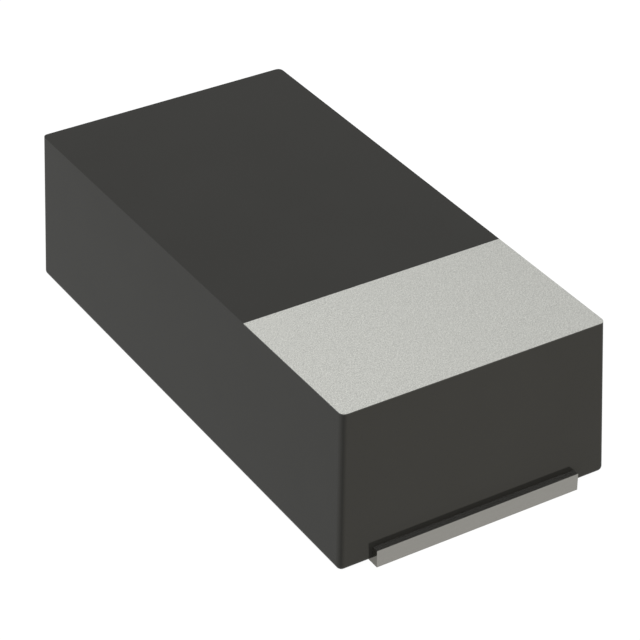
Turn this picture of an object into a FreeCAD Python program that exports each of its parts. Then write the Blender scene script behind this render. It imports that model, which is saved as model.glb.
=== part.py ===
import FreeCAD, Part
import os
import Sketcher
from FreeCAD import Placement, Rotation, Vector

# Moulded tantalum chip capacitor whose two terminals lie flat on its underside.
# Millimetres. X runs along the length with the plus end at +X, Z is up, and the
# origin lies on the board, under the middle of the part.

SIZES = (
    # the moulded case, wider at its underside than at its top so that it leaves the mould
    ("case_length", 3.2, "underside, end to end"),
    ("case_width", 1.593, "underside, side to side"),
    ("case_height", 0.905, "underside to top face"),
    ("end_inset", 0.032, "how far an end wall leans in at the top"),
    ("side_inset", 0.032, "how far a side wall leans in at the top"),
    ("edge_radius", 0.031, "rounding of the upright edges and of the underside's rim"),
    ("standoff", 0.02, "gap between board and case"),
    # the printed band at the plus end
    ("band_length", 0.918, "along the top face, back from its plus edge"),
    ("band_thickness", 0.006, "depth of the mark in the top face"),
    # the two terminals, cut from one lead-frame strip
    ("strip_thickness", 0.1, "lead-frame strip"),
    ("terminal_width", 1.205, "strip width"),
    ("terminal_length", 0.8, "soldered face, from its sheared end inwards"),
    ("terminal_protrusion", 0.036, "sheared end beyond the underside's edge"),
    ("lip_length", 0.12, "coined lip that anchors the terminal in the moulding"),
    ("lip_thickness", 0.05, "height of that lip, level with the strip's upper face"),
    # walls of the moulding round the coated element
    ("end_wall", 0.18, "minus end of the case to the element"),
    ("side_wall", 0.17, "side of the underside to the element"),
    ("roof_wall", 0.12, "element to the top face"),
    # coats on the pellet, each a thin cup open at the plus end
    ("electrolyte_thickness", 0.03, "manganese dioxide"),
    ("graphite_thickness", 0.015, "carbon over the manganese dioxide"),
    ("silver_thickness", 0.02, "silver paint over the carbon"),
    ("graphite_setback", 0.12, "carbon's edge behind the pellet's plus face"),
    ("silver_setback", 0.2, "silver's edge behind the pellet's plus face"),
    ("pellet_edge_radius", 0.08, "long edges of the pressed pellet"),
    # silver adhesive under the element
    ("adhesive_thickness", 0.03, "terminal to silver coat"),
    ("adhesive_length", 0.5, "along the terminal"),
    ("adhesive_width", 0.8, "across the terminal"),
    ("adhesive_margin", 0.08, "from the terminal's inner end"),
    ("adhesive_corner", 0.12, "rounding of the adhesive's outline"),
    # the wire, its washer and the riser that it is welded to
    ("wire_diameter", 0.15, "tantalum wire"),
    ("wire_embedment", 1.0, "wire inside the pellet"),
    ("wire_tail", 0.05, "wire beyond the riser"),
    ("washer_diameter", 0.36, "outside"),
    ("washer_thickness", 0.06, "along the wire"),
    ("riser_gap", 0.08, "washer to riser"),
    ("riser_length", 0.2, "along the wire"),
    ("riser_width", 0.42, "across the wire"),
    ("riser_setback", 0.45, "riser behind the case's plus end"),
)

# Levels and stations that several pieces share, each worked out from the sizes above
CASE_TOP = "(Sizes.standoff + Sizes.case_height)"
TERMINAL_END = "(Sizes.case_length / 2 + Sizes.terminal_protrusion)"
SEAT_LEVEL = "(Sizes.strip_thickness + Sizes.adhesive_thickness)"
ELEMENT_START = "(-Sizes.case_length / 2 + Sizes.end_wall)"
ELEMENT_WIDTH = "(Sizes.case_width - 2 * Sizes.side_wall)"
ELEMENT_HEIGHT = f"({CASE_TOP} - Sizes.roof_wall - {SEAT_LEVEL})"
WIRE_LEVEL = f"({SEAT_LEVEL} + {ELEMENT_HEIGHT} / 2)"
RISER_OUTER = "(Sizes.case_length / 2 - Sizes.riser_setback)"
RISER_INNER = f"({RISER_OUTER} - Sizes.riser_length)"
PELLET_FACE = f"({RISER_INNER} - Sizes.riser_gap - Sizes.washer_thickness)"

# How deep each block of the coated element lies below the element's outer skin
SILVER_DEPTH = "0"
GRAPHITE_DEPTH = "Sizes.silver_thickness"
ELECTROLYTE_DEPTH = "(Sizes.silver_thickness + Sizes.graphite_thickness)"
PELLET_DEPTH = f"({ELECTROLYTE_DEPTH} + Sizes.electrolyte_thickness)"

# A sketch's own names for a line's two ends, and for its two axes
START, END = range(1, 3)
HORIZONTAL_AXIS, VERTICAL_AXIS = range(-1, -3, -1)
ORIGIN_POINT = (HORIZONTAL_AXIS, START)

document = FreeCAD.newDocument("tantalum_capacitor")


def make_sheet():
    """Write the driving sizes into the spreadsheet, one row each."""
    sheet = document.addObject("Spreadsheet::Sheet", "Sizes")
    for row, (alias, value, meaning) in enumerate(SIZES, start=1):
        sheet.set(f"A{row}", alias)
        sheet.set(f"B{row}", str(value))
        sheet.set(f"C{row}", meaning)
        sheet.setAlias(f"B{row}", alias)
    document.recompute()
    return sheet


def measure(expression):
    """What an expression comes to with the sizes in the sheet."""
    return document.Sizes.evalExpression(expression)


def bind_place(piece, x="0", y="0", z="0"):
    """Tie the place of a piece to the sheet."""
    for axis, expression in (("x", x), ("y", y), ("z", z)):
        piece.setExpression(f".Placement.Base.{axis}", expression)


def new_body(label):
    """A body with the label that names its file."""
    body = document.addObject("PartDesign::Body", label)
    body.Label = label
    return body


def origin_plane(body, role):
    """One of the body's own origin planes."""
    return next(item for item in body.Origin.OriginFeatures if item.Role == role)


def new_sketch(body, name, plane):
    """A sketch on one of the body's own origin planes."""
    sketch = body.newObject("Sketcher::SketchObject", name)
    sketch.AttachmentSupport = [(origin_plane(body, plane), "")]
    sketch.MapMode = "FlatFace"
    return sketch


def draw_outline(sketch, points):
    """Join the points with straight lines, closed and held together at the corners."""
    corners = [Vector(x, y, 0) for x, y in points]
    count = len(corners)
    for index in range(count):
        line = Part.LineSegment(corners[index], corners[(index + 1) % count])
        sketch.addGeometry(line, False)
    for index in range(count):
        following = (index + 1) % count
        sketch.addConstraint(Sketcher.Constraint("Coincident", index, END, following, START))


def bind_distance(sketch, name, direction, first, second, expression):
    """A named dimension from one end of a line to another, tied to the sheet."""
    length = measure(expression)
    index = sketch.addConstraint(Sketcher.Constraint(direction, *first, *second, length))
    sketch.renameConstraint(index, name)
    sketch.setExpression(f"Constraints.{name}", expression)


def draw_centred_rectangle(sketch, length, width):
    """A rectangle about the origin."""
    x = measure(length) / 2
    y = measure(width) / 2
    draw_outline(sketch, ((-x, -y), (x, -y), (x, y), (-x, y)))
    for index in (0, 2):
        sketch.addConstraint(Sketcher.Constraint("Horizontal", index))
    for index in (1, 3):
        sketch.addConstraint(Sketcher.Constraint("Vertical", index))
    sketch.addConstraint(Sketcher.Constraint("Symmetric", 0, START, 1, END, *ORIGIN_POINT))
    bind_distance(sketch, "length", "DistanceX", (0, START), (0, END), length)
    bind_distance(sketch, "width", "DistanceY", (1, START), (1, END), width)


def draw_forward_rectangle(sketch, length, width):
    """A rectangle that starts on the vertical axis and lies evenly about the other one."""
    x = measure(length)
    y = measure(width) / 2
    draw_outline(sketch, ((0, -y), (x, -y), (x, y), (0, y)))
    for index in (0, 2):
        sketch.addConstraint(Sketcher.Constraint("Horizontal", index))
    sketch.addConstraint(Sketcher.Constraint("Vertical", 1))
    sketch.addConstraint(Sketcher.Constraint("PointOnObject", 0, START, VERTICAL_AXIS))
    sketch.addConstraint(Sketcher.Constraint("Symmetric", 0, START, 3, START, HORIZONTAL_AXIS))
    bind_distance(sketch, "length", "DistanceX", (0, START), (0, END), length)
    bind_distance(sketch, "width", "DistanceY", (1, START), (1, END), width)


def edges_where(shape, test):
    """Names of the edges whose two ends pass the test."""
    names = []
    for number, edge in enumerate(shape.Edges, start=1):
        first = edge.Vertexes[0].Point
        last = edge.Vertexes[-1].Point
        if test(first, last):
            names.append(f"Edge{number}")
    return names


def is_upright(first, last):
    """True for an edge that climbs, straight up or leaning."""
    return abs(last.z - first.z) > max(abs(last.x - first.x), abs(last.y - first.y))


def is_lengthwise(first, last):
    """True for an edge that runs along X."""
    return abs(last.x - first.x) > max(abs(last.y - first.y), abs(last.z - first.z))


def is_at_start(first, last):
    """True for an edge that lies in the piece's own first plane, at X = 0."""
    return max(abs(first.x), abs(last.x)) < Part.Precision.confusion()


def is_upright_or_lowest(first, last):
    """True for an edge that climbs or lies in the piece's own lowest plane, at Z = 0."""
    return is_upright(first, last) or max(first.z, last.z) < Part.Precision.confusion()


def add_fillet(body, base, test, name, radius):
    """Round the edges of a body that pass the test."""
    document.recompute()
    fillet = body.newObject("PartDesign::Fillet", name)
    fillet.Base = (base, edges_where(base.Shape, test))
    fillet.setExpression("Radius", radius)
    return fillet


def make_block(label, x, z, length, width, height):
    """A rectangular body that starts at x, stands on z and lies evenly about the X axis."""
    body = new_body(label)
    sketch = new_sketch(body, f"{label}_plan", "XY_Plane")
    draw_forward_rectangle(sketch, length, width)
    pad = body.newObject("PartDesign::Pad", f"{label}_pad")
    pad.Profile = sketch
    pad.setExpression("Length", height)
    bind_place(body, x=x, z=z)
    return body, pad


def add_draft(body, base, axis, name, inset):
    """Lean the upright walls that face along the axis in by the inset at the top."""
    document.recompute()
    walls = [
        f"Face{number}"
        for number, face in enumerate(base.Shape.Faces, start=1)
        if face.normalAt(0, 0).cross(axis).Length < Part.Precision.confusion()
    ]
    draft = body.newObject("PartDesign::Draft", name)
    draft.Base = (base, walls)
    draft.NeutralPlane = (origin_plane(body, "XY_Plane"), [""])
    draft.setExpression("Angle", f"atan({inset} / Sizes.case_height)")
    return draft


def make_case_block():
    """The outside of the moulding, with leaning walls and every edge round but the top's."""
    body = new_body("case_block")
    underside = new_sketch(body, "underside", "XY_Plane")
    draw_centred_rectangle(underside, "Sizes.case_length", "Sizes.case_width")
    pad = body.newObject("PartDesign::Pad", "case_pad")
    pad.Profile = underside
    pad.setExpression("Length", "Sizes.case_height")
    ends = add_draft(body, pad, Vector(1, 0, 0), "leaning_ends", "Sizes.end_inset")
    sides = add_draft(body, ends, Vector(0, 1, 0), "leaning_sides", "Sizes.side_inset")
    add_fillet(body, sides, is_upright_or_lowest, "rounded_edges", "Sizes.edge_radius")
    bind_place(body, z="Sizes.standoff")
    return body


def make_band_region():
    """The slab of the case's top that the band takes up."""
    region = document.addObject("Part::Box", "band_region")
    region.setExpression("Length", "Sizes.band_length + Sizes.end_inset")
    region.setExpression("Width", "Sizes.case_width")
    region.setExpression("Height", "Sizes.band_thickness")
    bind_place(
        region,
        x="Sizes.case_length / 2 - Sizes.end_inset - Sizes.band_length",
        y="-Sizes.case_width / 2",
        z=f"{CASE_TOP} - Sizes.band_thickness",
    )
    return region


def make_terminal(label, end, turn):
    """A strip with a soldered face below and a thinner lip at its inner end.

    The strip starts at its sheared end and runs inwards.
    """
    body = new_body(label)
    sketch = new_sketch(body, f"{label}_profile", "XZ_Plane")
    face = measure("Sizes.terminal_length")
    inner = measure("Sizes.terminal_length + Sizes.lip_length")
    top = measure("Sizes.strip_thickness")
    lip = measure("Sizes.strip_thickness - Sizes.lip_thickness")
    draw_outline(sketch, ((0, 0), (face, 0), (face, lip), (inner, lip), (inner, top), (0, top)))
    for index in (0, 2, 4):
        sketch.addConstraint(Sketcher.Constraint("Horizontal", index))
    for index in (1, 3, 5):
        sketch.addConstraint(Sketcher.Constraint("Vertical", index))
    sketch.addConstraint(Sketcher.Constraint("Coincident", 0, START, *ORIGIN_POINT))
    bind_distance(sketch, "face", "DistanceX", (0, START), (0, END), "Sizes.terminal_length")
    bind_distance(sketch, "lip", "DistanceX", (2, START), (2, END), "Sizes.lip_length")
    bind_distance(sketch, "lip_height", "DistanceY", (3, START), (3, END), "Sizes.lip_thickness")
    bind_distance(sketch, "strip", "DistanceY", (5, END), (5, START), "Sizes.strip_thickness")
    pad = body.newObject("PartDesign::Pad", f"{label}_strip")
    pad.Profile = sketch
    pad.SideType = "Symmetric"
    pad.setExpression("Length", "Sizes.terminal_width")
    body.Placement = Placement(Vector(), Rotation(Vector(0, 0, 1), turn))
    bind_place(body, x=end)
    return body


def make_element_block(label, depth, setback):
    """One nested block of the coated element: its long edges round, its minus end too."""
    body, pad = make_block(
        label,
        x=f"{ELEMENT_START} + {depth}",
        z=f"{SEAT_LEVEL} + {depth}",
        length=f"{PELLET_FACE} - {setback} - {ELEMENT_START} - {depth}",
        width=f"{ELEMENT_WIDTH} - 2 * {depth}",
        height=f"{ELEMENT_HEIGHT} - 2 * {depth}",
    )
    long_radius = f"Sizes.pellet_edge_radius + {PELLET_DEPTH} - {depth}"
    return body, add_fillet(body, pad, is_lengthwise, f"{label}_long_edges", long_radius)


def make_coat_block(label, depth, setback):
    """A nested block whose minus end is rounded as well, as a dipped coat is."""
    body, long_edges = make_element_block(label, depth, setback)
    end_radius = f"{PELLET_DEPTH} - {depth}"
    add_fillet(body, long_edges, is_at_start, f"{label}_end_edges", end_radius)
    return body


def make_rod(label, diameter, length, x):
    """A round rod along X at the wire's level, starting at x."""
    rod = document.addObject("Part::Cylinder", label)
    rod.Label = label
    rod.setExpression("Radius", f"{diameter} / 2")
    rod.setExpression("Height", length)
    rod.Placement = Placement(Vector(), Rotation(Vector(0, 1, 0), 90))
    bind_place(rod, x=x, z=WIRE_LEVEL)
    return rod


def make_wire():
    """The tantalum wire, from inside the pellet to just past the riser."""
    start = f"({PELLET_FACE} - Sizes.wire_embedment)"
    length = f"{RISER_OUTER} + Sizes.wire_tail - {start}"
    return make_rod("anode_wire", "Sizes.wire_diameter", length, start)


def make_adhesive():
    """The pad of silver adhesive between the minus terminal and the silver coat."""
    inner_end = f"(-{TERMINAL_END} + Sizes.terminal_length + Sizes.lip_length)"
    body, pad = make_block(
        "silver_adhesive",
        x=f"{inner_end} - Sizes.adhesive_margin - Sizes.adhesive_length",
        z="Sizes.strip_thickness",
        length="Sizes.adhesive_length",
        width="Sizes.adhesive_width",
        height="Sizes.adhesive_thickness",
    )
    add_fillet(body, pad, is_upright, "adhesive_corners", "Sizes.adhesive_corner")
    return body


def make_riser_block():
    """The metal block between the plus terminal and the wire, before its groove."""
    body, _ = make_block(
        "riser_block",
        x=RISER_INNER,
        z="Sizes.strip_thickness",
        length="Sizes.riser_length",
        width="Sizes.riser_width",
        height=f"{WIRE_LEVEL} - Sizes.strip_thickness",
    )
    return body


def fuse(label, pieces):
    """One shape from several."""
    joined = document.addObject("Part::MultiFuse", label)
    joined.Shapes = pieces
    return joined


def cut(label, base, tool):
    """What is left of the base once the tool is taken out of it."""
    rest = document.addObject("Part::Cut", label)
    rest.Base = base
    rest.Tool = tool
    rest.Label = label
    return rest


def common(label, base, tool):
    """What the base and the tool share."""
    shared = document.addObject("Part::Common", label)
    shared.Base = base
    shared.Tool = tool
    shared.Label = label
    return shared


def make_pieces():
    """Every separate piece of the capacitor."""
    case_block = make_case_block()
    band_region = make_band_region()
    cathode_terminal = make_terminal("cathode_terminal", f"-{TERMINAL_END}", 0)
    anode_terminal = make_terminal("anode_terminal", TERMINAL_END, 180)

    silver_block = make_coat_block("silver_block", SILVER_DEPTH, "Sizes.silver_setback")
    graphite_block = make_coat_block("graphite_block", GRAPHITE_DEPTH, "Sizes.graphite_setback")
    electrolyte_block = make_coat_block(
        "electrolyte_block", ELECTROLYTE_DEPTH, "-Sizes.electrolyte_thickness"
    )
    pellet_block, _ = make_element_block("pellet_block", PELLET_DEPTH, "0")

    wire = make_wire()
    washer_disc = make_rod(
        "washer_disc", "Sizes.washer_diameter", "Sizes.washer_thickness", PELLET_FACE
    )
    adhesive = make_adhesive()
    riser_block = make_riser_block()

    inside_electrolyte = fuse("inside_electrolyte", [pellet_block, washer_disc, wire])
    cavity = fuse(
        "cavity",
        [
            band_region,
            cathode_terminal,
            anode_terminal,
            silver_block,
            graphite_block,
            electrolyte_block,
            washer_disc,
            wire,
            adhesive,
            riser_block,
        ],
    )
    return [
        cut("molded_case", case_block, cavity),
        common("polarity_band", case_block, band_region),
        cathode_terminal,
        anode_terminal,
        cut("silver_coat", silver_block, graphite_block),
        cut("graphite_coat", graphite_block, electrolyte_block),
        cut("manganese_dioxide_coat", electrolyte_block, inside_electrolyte),
        cut("tantalum_pellet", pellet_block, wire),
        wire,
        cut("insulating_washer", washer_disc, wire),
        adhesive,
        cut("anode_riser", riser_block, wire),
    ]


def check_document():
    """Stop if any object of the document failed to recompute."""
    for item in document.Objects:
        if "Invalid" in item.State or "Error" in item.State:
            raise RuntimeError(f"{item.Label} did not recompute: {item.State}")


def check_piece(piece):
    """Stop unless a piece is one sound solid."""
    shape = piece.Shape
    if shape.isNull() or not shape.isValid() or len(shape.Solids) != 1:
        raise RuntimeError(f"{piece.Label} is not one valid solid")


def export_pieces(pieces):
    """Write one file per piece, named by its label."""
    os.makedirs("parts", exist_ok=True)
    for piece in pieces:
        check_piece(piece)
    for piece in pieces:
        piece.Shape.exportStep(f"parts/{piece.Label}.step")
        print(f"{piece.Label}: {piece.Shape.Volume:.5f} cubic millimetres")


make_sheet()
pieces = make_pieces()
document.recompute()
check_document()
export_pieces(pieces)
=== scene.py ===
import math

import bpy
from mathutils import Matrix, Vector


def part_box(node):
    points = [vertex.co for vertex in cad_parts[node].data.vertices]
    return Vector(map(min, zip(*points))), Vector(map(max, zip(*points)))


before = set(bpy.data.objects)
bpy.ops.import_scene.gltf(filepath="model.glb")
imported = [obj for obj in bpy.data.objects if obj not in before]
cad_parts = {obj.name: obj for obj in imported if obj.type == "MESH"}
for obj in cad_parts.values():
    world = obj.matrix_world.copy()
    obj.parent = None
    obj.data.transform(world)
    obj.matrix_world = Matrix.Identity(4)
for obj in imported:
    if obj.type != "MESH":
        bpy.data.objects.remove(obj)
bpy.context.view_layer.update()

MM = 0.001
MICRON = 0.000001
EVEN = (1.0, 1.0, 1.0)

# The photograph's viewpoint, in millimetres and degrees
CAMERA_PLACE_MM = (9.9420, -6.0141, 7.9352)
CAMERA_TURN = 31.486
CAMERA_ELEVATION = 33.239
FOCAL_PIXELS = 2595.5
IMAGE_PIXELS = 640
SENSOR_MM = 36.0
CLIP_NEAR = 1 * MM
CLIP_FAR = 1000 * MM

# The studio: radiances are in units of the paper white
WHITE = (1.0, 1.0, 1.0)
WARM = (1.0, 0.93, 0.8)
COOL = (0.97, 1.0, 1.04)
WORLD_RADIANCE = 1.0
FLOOR_HALF_WIDTH = 200 * MM
FLOOR_LEVEL = -1 * MICRON
FLOOR_GLOW = 0.98
FLOOR_PAPER = 0.06
FILL_LIGHT = dict(
    azimuth=-130, elevation=6, distance=60 * MM, size=16 * MM, radiance=28.5, colour=COOL
)
FRONT_LIGHT = dict(
    azimuth=0, elevation=6, distance=60 * MM, size=16 * MM, radiance=10.1, colour=WARM
)

# Cards in the white surround, which the glossy faces mirror: a dark one high up off the plus end, a dark
# one low down on the near side, and a faintly warm one low down off the plus end. Each adds its colour
# to the white, less with every degree between its inner angle and its outer one.
CARDS = (
    dict(azimuth=31.5, elevation=33.0, inner=20.0, outer=38.0, adds=(-0.46, -0.49, -0.53)),
    dict(azimuth=-38.0, elevation=-33.0, inner=0.0, outer=57.0, adds=(-0.66, -0.66, -0.66)),
    dict(azimuth=31.5, elevation=-33.0, inner=25.0, outer=50.0, adds=(0.05, 0.02, -0.03)),
)

# Where noise begins and ends its range in practice, and the whole range, which the marking uses
NOISE_RANGE = (0.3, 0.7)
WHOLE_RANGE = (0.0, 1.0)
REFRACTIVE_INDEX = 1.45

# The finishes of what shows. Colours are linear. Dark and light are the two ends of a grain.
EPOXY = dict(
    metallic=0.58,
    edge_tint=(0.68, 0.68, 0.68),
    grain=9 * MICRON,
    grain_share=0.6,
    mottle=350 * MICRON,
    mottle_detail=1.0,
    dark=(0.0438, 0.0435, 0.0406),
    light=(0.0467, 0.0464, 0.0434),
    roughness=(0.05, 0.09),
    relief=0.02 * MICRON,
)
MARKING = dict(
    fleck=2.8 * MICRON,
    ripple=4.5 * MICRON,
    ripple_detail=0.0,
    ripple_drawn=(1.5, 1.0, 1.0),
    ripple_share=0.6,
    dark=(0.225, 0.228, 0.214),
    light=(0.755, 0.762, 0.718),
    roughness=(0.45, 0.65),
    relief=0.1 * MICRON,
    # how far the light skin reaches down from the top, what lies below it, and how fast painted shade
    # darkens the skin towards +Y, leaving it palest towards -Y
    depth=0.8 * MICRON,
    ground=(0.030, 0.030, 0.028),
    painted_shade_per_metre=80.0,
)
TINNED = dict(
    metallic=0.82,
    grain=8 * MICRON,
    drawn=(1.0, 6.0, 1.0),
    dark=(0.248, 0.248, 0.239),
    light=(0.256, 0.256, 0.247),
    roughness=(0.09, 0.11),
    relief=0.002 * MICRON,
    # the darker colour painted on the strip's long sides as shade, and how squarely a face looks along Y
    # to be one
    side=(0.115, 0.110, 0.094),
    side_facing=0.7,
)

# The finishes of the pieces sealed in the moulding
INNER_DETAIL = 4.0
INNER_FINISHES = {
    "tantalum_pellet": dict(
        name="sintered_tantalum", metallic=0.6, grain=12 * MICRON, relief=3 * MICRON,
        dark=(0.06, 0.06, 0.065), light=(0.16, 0.16, 0.17), roughness=(0.6, 0.9),
    ),
    "anode_wire": dict(
        name="tantalum_wire", metallic=1.0, grain=6 * MICRON, relief=0.3 * MICRON,
        dark=(0.30, 0.30, 0.32), light=(0.42, 0.42, 0.44), roughness=(0.25, 0.4),
        drawn=(12.0, 1.0, 1.0),
    ),
    "insulating_washer": dict(
        name="fluoropolymer", metallic=0.0, grain=20 * MICRON, relief=0.5 * MICRON,
        dark=(0.70, 0.70, 0.68), light=(0.80, 0.80, 0.79), roughness=(0.35, 0.5),
    ),
    "manganese_dioxide_coat": dict(
        name="manganese_dioxide", metallic=0.0, grain=10 * MICRON, relief=2 * MICRON,
        dark=(0.010, 0.009, 0.009), light=(0.035, 0.032, 0.030), roughness=(0.55, 0.85),
    ),
    "graphite_coat": dict(
        name="graphite", metallic=0.3, grain=15 * MICRON, relief=1 * MICRON,
        dark=(0.025, 0.025, 0.027), light=(0.055, 0.055, 0.058), roughness=(0.4, 0.6),
    ),
    "silver_coat": dict(
        name="silver_paint", metallic=0.8, grain=12 * MICRON, relief=1 * MICRON,
        dark=(0.42, 0.42, 0.41), light=(0.62, 0.61, 0.59), roughness=(0.4, 0.6),
    ),
    "silver_adhesive": dict(
        name="silver_epoxy", metallic=0.7, grain=25 * MICRON, relief=2 * MICRON,
        dark=(0.36, 0.36, 0.35), light=(0.52, 0.52, 0.50), roughness=(0.35, 0.55),
    ),
    "anode_riser": dict(
        name="nickel_iron", metallic=1.0, grain=8 * MICRON, relief=0.2 * MICRON,
        dark=(0.40, 0.39, 0.37), light=(0.50, 0.49, 0.46), roughness=(0.2, 0.35),
        drawn=(1.0, 8.0, 1.0),
    ),
}


class Surface:
    """A node material under construction, with the piece's own coordinates to draw on."""

    def __init__(self, name, metallic=0.0):
        self.material = bpy.data.materials.new(name)
        self.material.use_nodes = True
        self.nodes = self.material.node_tree.nodes
        self.links = self.material.node_tree.links
        self.shader = next(node for node in self.nodes if node.type == "BSDF_PRINCIPLED")
        self.shader.inputs["Metallic"].default_value = metallic
        self.shader.inputs["IOR"].default_value = REFRACTIVE_INDEX
        self.place = self.nodes.new("ShaderNodeTexCoord")

    def feed(self, node, socket, value):
        """Give an input a number or link another node's output to it."""
        if isinstance(value, bpy.types.NodeSocket):
            self.links.new(value, node.inputs[socket])
        else:
            node.inputs[socket].default_value = value

    def counted(self, grain, stretch):
        """The place on the piece, counted in grains that are drawn out along each axis."""
        mapping = self.nodes.new("ShaderNodeMapping")
        mapping.inputs["Scale"].default_value = [1.0 / (grain * factor) for factor in stretch]
        self.feed(mapping, "Vector", self.place.outputs["Object"])
        return mapping.outputs["Vector"]

    def noise(self, grain, detail=2.0, stretch=EVEN, dimensions="3D"):
        """Noise with features about one grain wide."""
        noise = self.nodes.new("ShaderNodeTexNoise")
        noise.noise_dimensions = dimensions
        noise.inputs["Scale"].default_value = 1.0
        noise.inputs["Detail"].default_value = detail
        self.feed(noise, "Vector", self.counted(grain, stretch))
        return noise.outputs["Fac"]

    def flecks(self, grain):
        """Cells about one grain wide, each with a value of its own between 0 and 1."""
        cells = self.nodes.new("ShaderNodeTexVoronoi")
        cells.inputs["Scale"].default_value = 1.0
        self.feed(cells, "Vector", self.counted(grain, EVEN))
        split = self.nodes.new("ShaderNodeSeparateColor")
        self.feed(split, "Color", cells.outputs["Color"])
        return split.outputs["Red"]

    def parts(self, vector):
        """The X, Y and Z of a vector."""
        split = self.nodes.new("ShaderNodeSeparateXYZ")
        self.feed(split, "Vector", vector)
        return [split.outputs[axis] for axis in "XYZ"]

    def facing(self):
        """How far the surface faces along X, Y and Z, either way."""
        size = self.nodes.new("ShaderNodeVectorMath")
        size.operation = "ABSOLUTE"
        self.feed(size, 0, self.place.outputs["Normal"])
        return self.parts(size.outputs["Vector"])

    def spread(self, value, low=0.0, high=1.0, given=NOISE_RANGE):
        """A value carried from the range given over to the range low to high."""
        span = self.nodes.new("ShaderNodeMapRange")
        self.feed(span, "Value", value)
        for socket, number in zip(("From Min", "From Max", "To Min", "To Max"), (*given, low, high)):
            span.inputs[socket].default_value = number
        return span.outputs["Result"]

    def math(self, operation, first, second):
        """One step of arithmetic."""
        step = self.nodes.new("ShaderNodeMath")
        step.operation = operation
        self.feed(step, 0, first)
        self.feed(step, 1, second)
        return step.outputs["Value"]

    def weighed(self, first, share, second):
        """The first value by its share, and the second by what is left."""
        return self.math(
            "ADD",
            self.math("MULTIPLY", first, share),
            self.math("MULTIPLY", second, 1.0 - share),
        )

    def mix(self, share, first, second):
        """A blend of two colours."""
        blend = self.nodes.new("ShaderNodeMix")
        blend.data_type = "RGBA"
        self.feed(blend, "Factor", share)
        sockets = [socket for socket in blend.inputs if socket.type == "RGBA"]
        for socket, colour in zip(sockets, (first, second)):
            if isinstance(colour, bpy.types.NodeSocket):
                self.links.new(colour, socket)
            else:
                socket.default_value = (*colour, 1.0)
        return next(socket for socket in blend.outputs if socket.type == "RGBA")

    def scaled(self, colour, factor):
        """A colour made that many times as bright."""
        scale = self.nodes.new("ShaderNodeVectorMath")
        scale.operation = "SCALE"
        self.feed(scale, 0, colour)
        self.feed(scale, "Scale", factor)
        return scale.outputs["Vector"]

    def bump(self, height, depth):
        """Raise the surface by a height map of the given depth."""
        bump = self.nodes.new("ShaderNodeBump")
        bump.inputs["Distance"].default_value = depth
        self.feed(bump, "Height", height)
        self.feed(self.shader, "Normal", bump.outputs["Normal"])

    def without_dielectric_gloss(self):
        """Leave the gloss to the metallic share alone."""
        self.shader.inputs["Specular IOR Level"].default_value = 0.0


# Materials


def make_epoxy():
    """Black moulding compound, with an even dark sheen."""
    surface = Surface("epoxy_moulding", EPOXY["metallic"])
    surface.without_dielectric_gloss()
    surface.shader.inputs["Specular Tint"].default_value = (*EPOXY["edge_tint"], 1.0)
    fine = surface.noise(EPOXY["grain"])
    broad = surface.noise(EPOXY["mottle"], detail=EPOXY["mottle_detail"])
    grain = surface.weighed(fine, EPOXY["grain_share"], broad)
    body = surface.mix(surface.spread(grain), EPOXY["dark"], EPOXY["light"])
    surface.feed(surface.shader, "Base Color", body)
    surface.feed(surface.shader, "Roughness", surface.spread(grain, *EPOXY["roughness"]))
    surface.bump(fine, EPOXY["relief"])
    return surface.material


def make_marking():
    """The light mark: a pale, finely flecked skin on the moulding's own black, with painted shade
    darkening it towards +Y.
    """
    surface = Surface("light_marking")
    ripple = surface.noise(
        MARKING["ripple"],
        detail=MARKING["ripple_detail"],
        stretch=MARKING["ripple_drawn"],
        dimensions="2D",
    )
    grain = surface.weighed(ripple, MARKING["ripple_share"], surface.flecks(MARKING["fleck"]))
    pale = surface.mix(grain, MARKING["dark"], MARKING["light"])
    _, across, up = surface.parts(surface.place.outputs["Object"])
    # painted shade: the skin is darkened in step with Y, lighter towards -Y and darker towards +Y
    painted_shade = surface.math("MULTIPLY", across, MARKING["painted_shade_per_metre"])
    pale_with_painted_shade = surface.scaled(pale, surface.math("SUBTRACT", 1.0, painted_shade))
    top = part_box("polarity_band")[1][2]
    skin = surface.math("GREATER_THAN", up, top - MARKING["depth"])
    surface.feed(surface.shader, "Base Color", surface.mix(skin, MARKING["ground"], pale_with_painted_shade))
    roughness = surface.spread(grain, *MARKING["roughness"], given=WHOLE_RANGE)
    surface.feed(surface.shader, "Roughness", roughness)
    surface.bump(grain, MARKING["relief"])
    return surface.material


def make_tinned():
    """Grey tin on the lead frame, drawn out along the strip, with painted shade darkening the strip's
    sides.
    """
    surface = Surface("tinned_lead_frame", TINNED["metallic"])
    surface.without_dielectric_gloss()
    drawn = surface.noise(TINNED["grain"], stretch=TINNED["drawn"])
    tone = surface.mix(surface.spread(drawn), TINNED["dark"], TINNED["light"])
    _, sideways, _ = surface.facing()
    # painted shade: faces that look squarely along Y take a darker colour in place of the tin's own tone
    side = surface.math("GREATER_THAN", sideways, TINNED["side_facing"])
    surface.feed(surface.shader, "Base Color", surface.mix(side, tone, TINNED["side"]))
    surface.feed(surface.shader, "Roughness", surface.spread(drawn, *TINNED["roughness"]))
    surface.bump(drawn, TINNED["relief"])
    return surface.material


def make_grained(name, metallic, grain, relief, dark, light, roughness, drawn=EVEN):
    """A material whose colour, roughness and height all follow one grain."""
    surface = Surface(name, metallic)
    fleck = surface.noise(grain, detail=INNER_DETAIL, stretch=drawn)
    surface.feed(surface.shader, "Base Color", surface.mix(surface.spread(fleck), dark, light))
    surface.feed(surface.shader, "Roughness", surface.spread(fleck, *roughness))
    surface.bump(fleck, relief)
    return surface.material


def dress(node, material):
    """Give a CAD node its material."""
    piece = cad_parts[node]
    piece.data.materials.clear()
    piece.data.materials.append(material)


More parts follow.
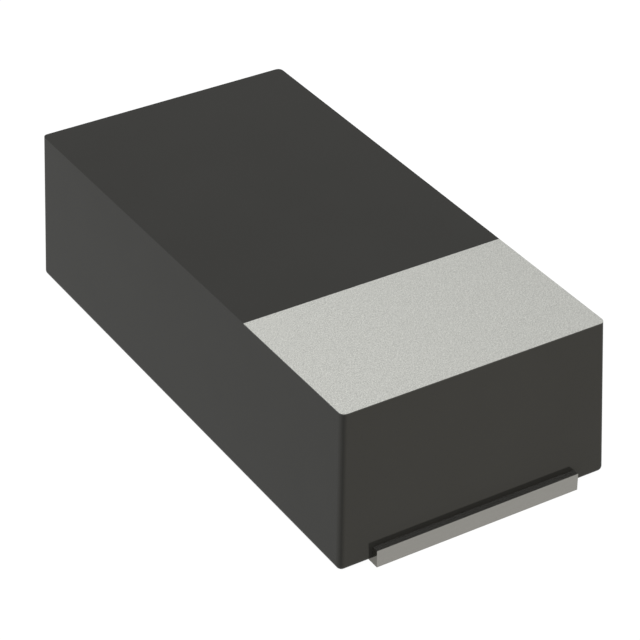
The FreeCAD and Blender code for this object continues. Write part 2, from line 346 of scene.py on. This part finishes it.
def dress_pieces():
    """Every CAD node keeps its form and gets a finish."""
    tinned = make_tinned()
    dress("molded_case", make_epoxy())
    dress("polarity_band", make_marking())
    dress("anode_terminal", tinned)
    dress("cathode_terminal", tinned)
    for node, finish in INNER_FINISHES.items():
        dress(node, make_grained(**finish))


# Studio


def direction(azimuth, elevation):
    """The unit vector that many degrees from +X towards +Y, and that many above the floor."""
    turn = math.radians(azimuth)
    rise = math.radians(elevation)
    return Vector((math.cos(rise) * math.cos(turn), math.cos(rise) * math.sin(turn), math.sin(rise)))


def add_to_scene(item):
    """Link an object to the scene."""
    bpy.context.scene.collection.objects.link(item)


def make_floor():
    """A white sheet that glows by itself, so that it stays white beside a small dark object."""
    half = FLOOR_HALF_WIDTH
    plan = ((-half, -half), (half, -half), (half, half), (-half, half))
    mesh = bpy.data.meshes.new("floor")
    mesh.from_pydata([(x, y, FLOOR_LEVEL) for x, y in plan], [], [(0, 1, 2, 3)])
    floor = bpy.data.objects.new("floor", mesh)
    add_to_scene(floor)
    surface = Surface("floor_paper")
    surface.without_dielectric_gloss()
    surface.shader.inputs["Base Color"].default_value = (FLOOR_PAPER, FLOOR_PAPER, FLOOR_PAPER, 1.0)
    surface.shader.inputs["Roughness"].default_value = 1.0
    surface.shader.inputs["Emission Color"].default_value = (*WHITE, 1.0)
    surface.shader.inputs["Emission Strength"].default_value = FLOOR_GLOW
    mesh.materials.append(surface.material)
    floor.visible_glossy = False


def make_softbox(name, azimuth, elevation, distance, size, radiance, colour):
    """A square soft light that looks at the part."""
    light = bpy.data.lights.new(name, "AREA")
    light.shape = "SQUARE"
    light.size = size
    light.energy = radiance * math.pi * size * size
    light.color = colour
    box = bpy.data.objects.new(name, light)
    away = direction(azimuth, elevation)
    box.location = away * distance
    box.rotation_mode = "QUATERNION"
    box.rotation_quaternion = away.to_track_quat("Z", "Y")
    box.visible_glossy = False
    add_to_scene(box)


def add_card(nodes, links, sky, so_far, azimuth, elevation, inner, outer, adds):
    """One card's colour on top of the surround so far."""
    towards = nodes.new("ShaderNodeVectorMath")
    towards.operation = "DOT_PRODUCT"
    towards.inputs[1].default_value = direction(azimuth, elevation)
    links.new(sky.outputs["Generated"], towards.inputs[0])
    angle = nodes.new("ShaderNodeMath")
    angle.operation = "ARCCOSINE"
    links.new(towards.outputs["Value"], angle.inputs[0])
    share = nodes.new("ShaderNodeMapRange")
    share.inputs["From Min"].default_value = math.radians(outer)
    share.inputs["From Max"].default_value = math.radians(inner)
    links.new(angle.outputs["Value"], share.inputs["Value"])
    colour = nodes.new("ShaderNodeVectorMath")
    colour.operation = "SCALE"
    colour.inputs[0].default_value = adds
    links.new(share.outputs["Result"], colour.inputs["Scale"])
    total = nodes.new("ShaderNodeVectorMath")
    total.operation = "ADD"
    links.new(so_far, total.inputs[0])
    links.new(colour.outputs["Vector"], total.inputs[1])
    return total.outputs["Vector"]


def make_world():
    """An even white surround with its cards."""
    world = bpy.data.worlds.new("studio")
    bpy.context.scene.world = world
    world.use_nodes = True
    nodes = world.node_tree.nodes
    links = world.node_tree.links
    background = next(node for node in nodes if node.type == "BACKGROUND")
    background.inputs["Strength"].default_value = WORLD_RADIANCE
    sky = nodes.new("ShaderNodeTexCoord")
    white = nodes.new("ShaderNodeRGB")
    white.outputs["Color"].default_value = (*WHITE, 1.0)
    surround = white.outputs["Color"]
    for card in CARDS:
        surround = add_card(nodes, links, sky, surround, **card)
    links.new(surround, background.inputs["Color"])


def make_camera():
    """The photograph's own viewpoint."""
    data = bpy.data.cameras.new("camera")
    data.sensor_width = SENSOR_MM
    data.lens = FOCAL_PIXELS / IMAGE_PIXELS * SENSOR_MM
    data.clip_start = CLIP_NEAR
    data.clip_end = CLIP_FAR
    camera = bpy.data.objects.new("camera", data)
    camera.location = Vector(CAMERA_PLACE_MM) * MM
    camera.rotation_mode = "QUATERNION"
    camera.rotation_quaternion = direction(-CAMERA_TURN, CAMERA_ELEVATION).to_track_quat("Z", "Y")
    add_to_scene(camera)
    bpy.context.scene.camera = camera


dress_pieces()
make_floor()
make_world()
make_softbox("fill", **FILL_LIGHT)
make_softbox("front", **FRONT_LIGHT)
make_camera()
bpy.context.scene.view_settings.view_transform = "Standard"
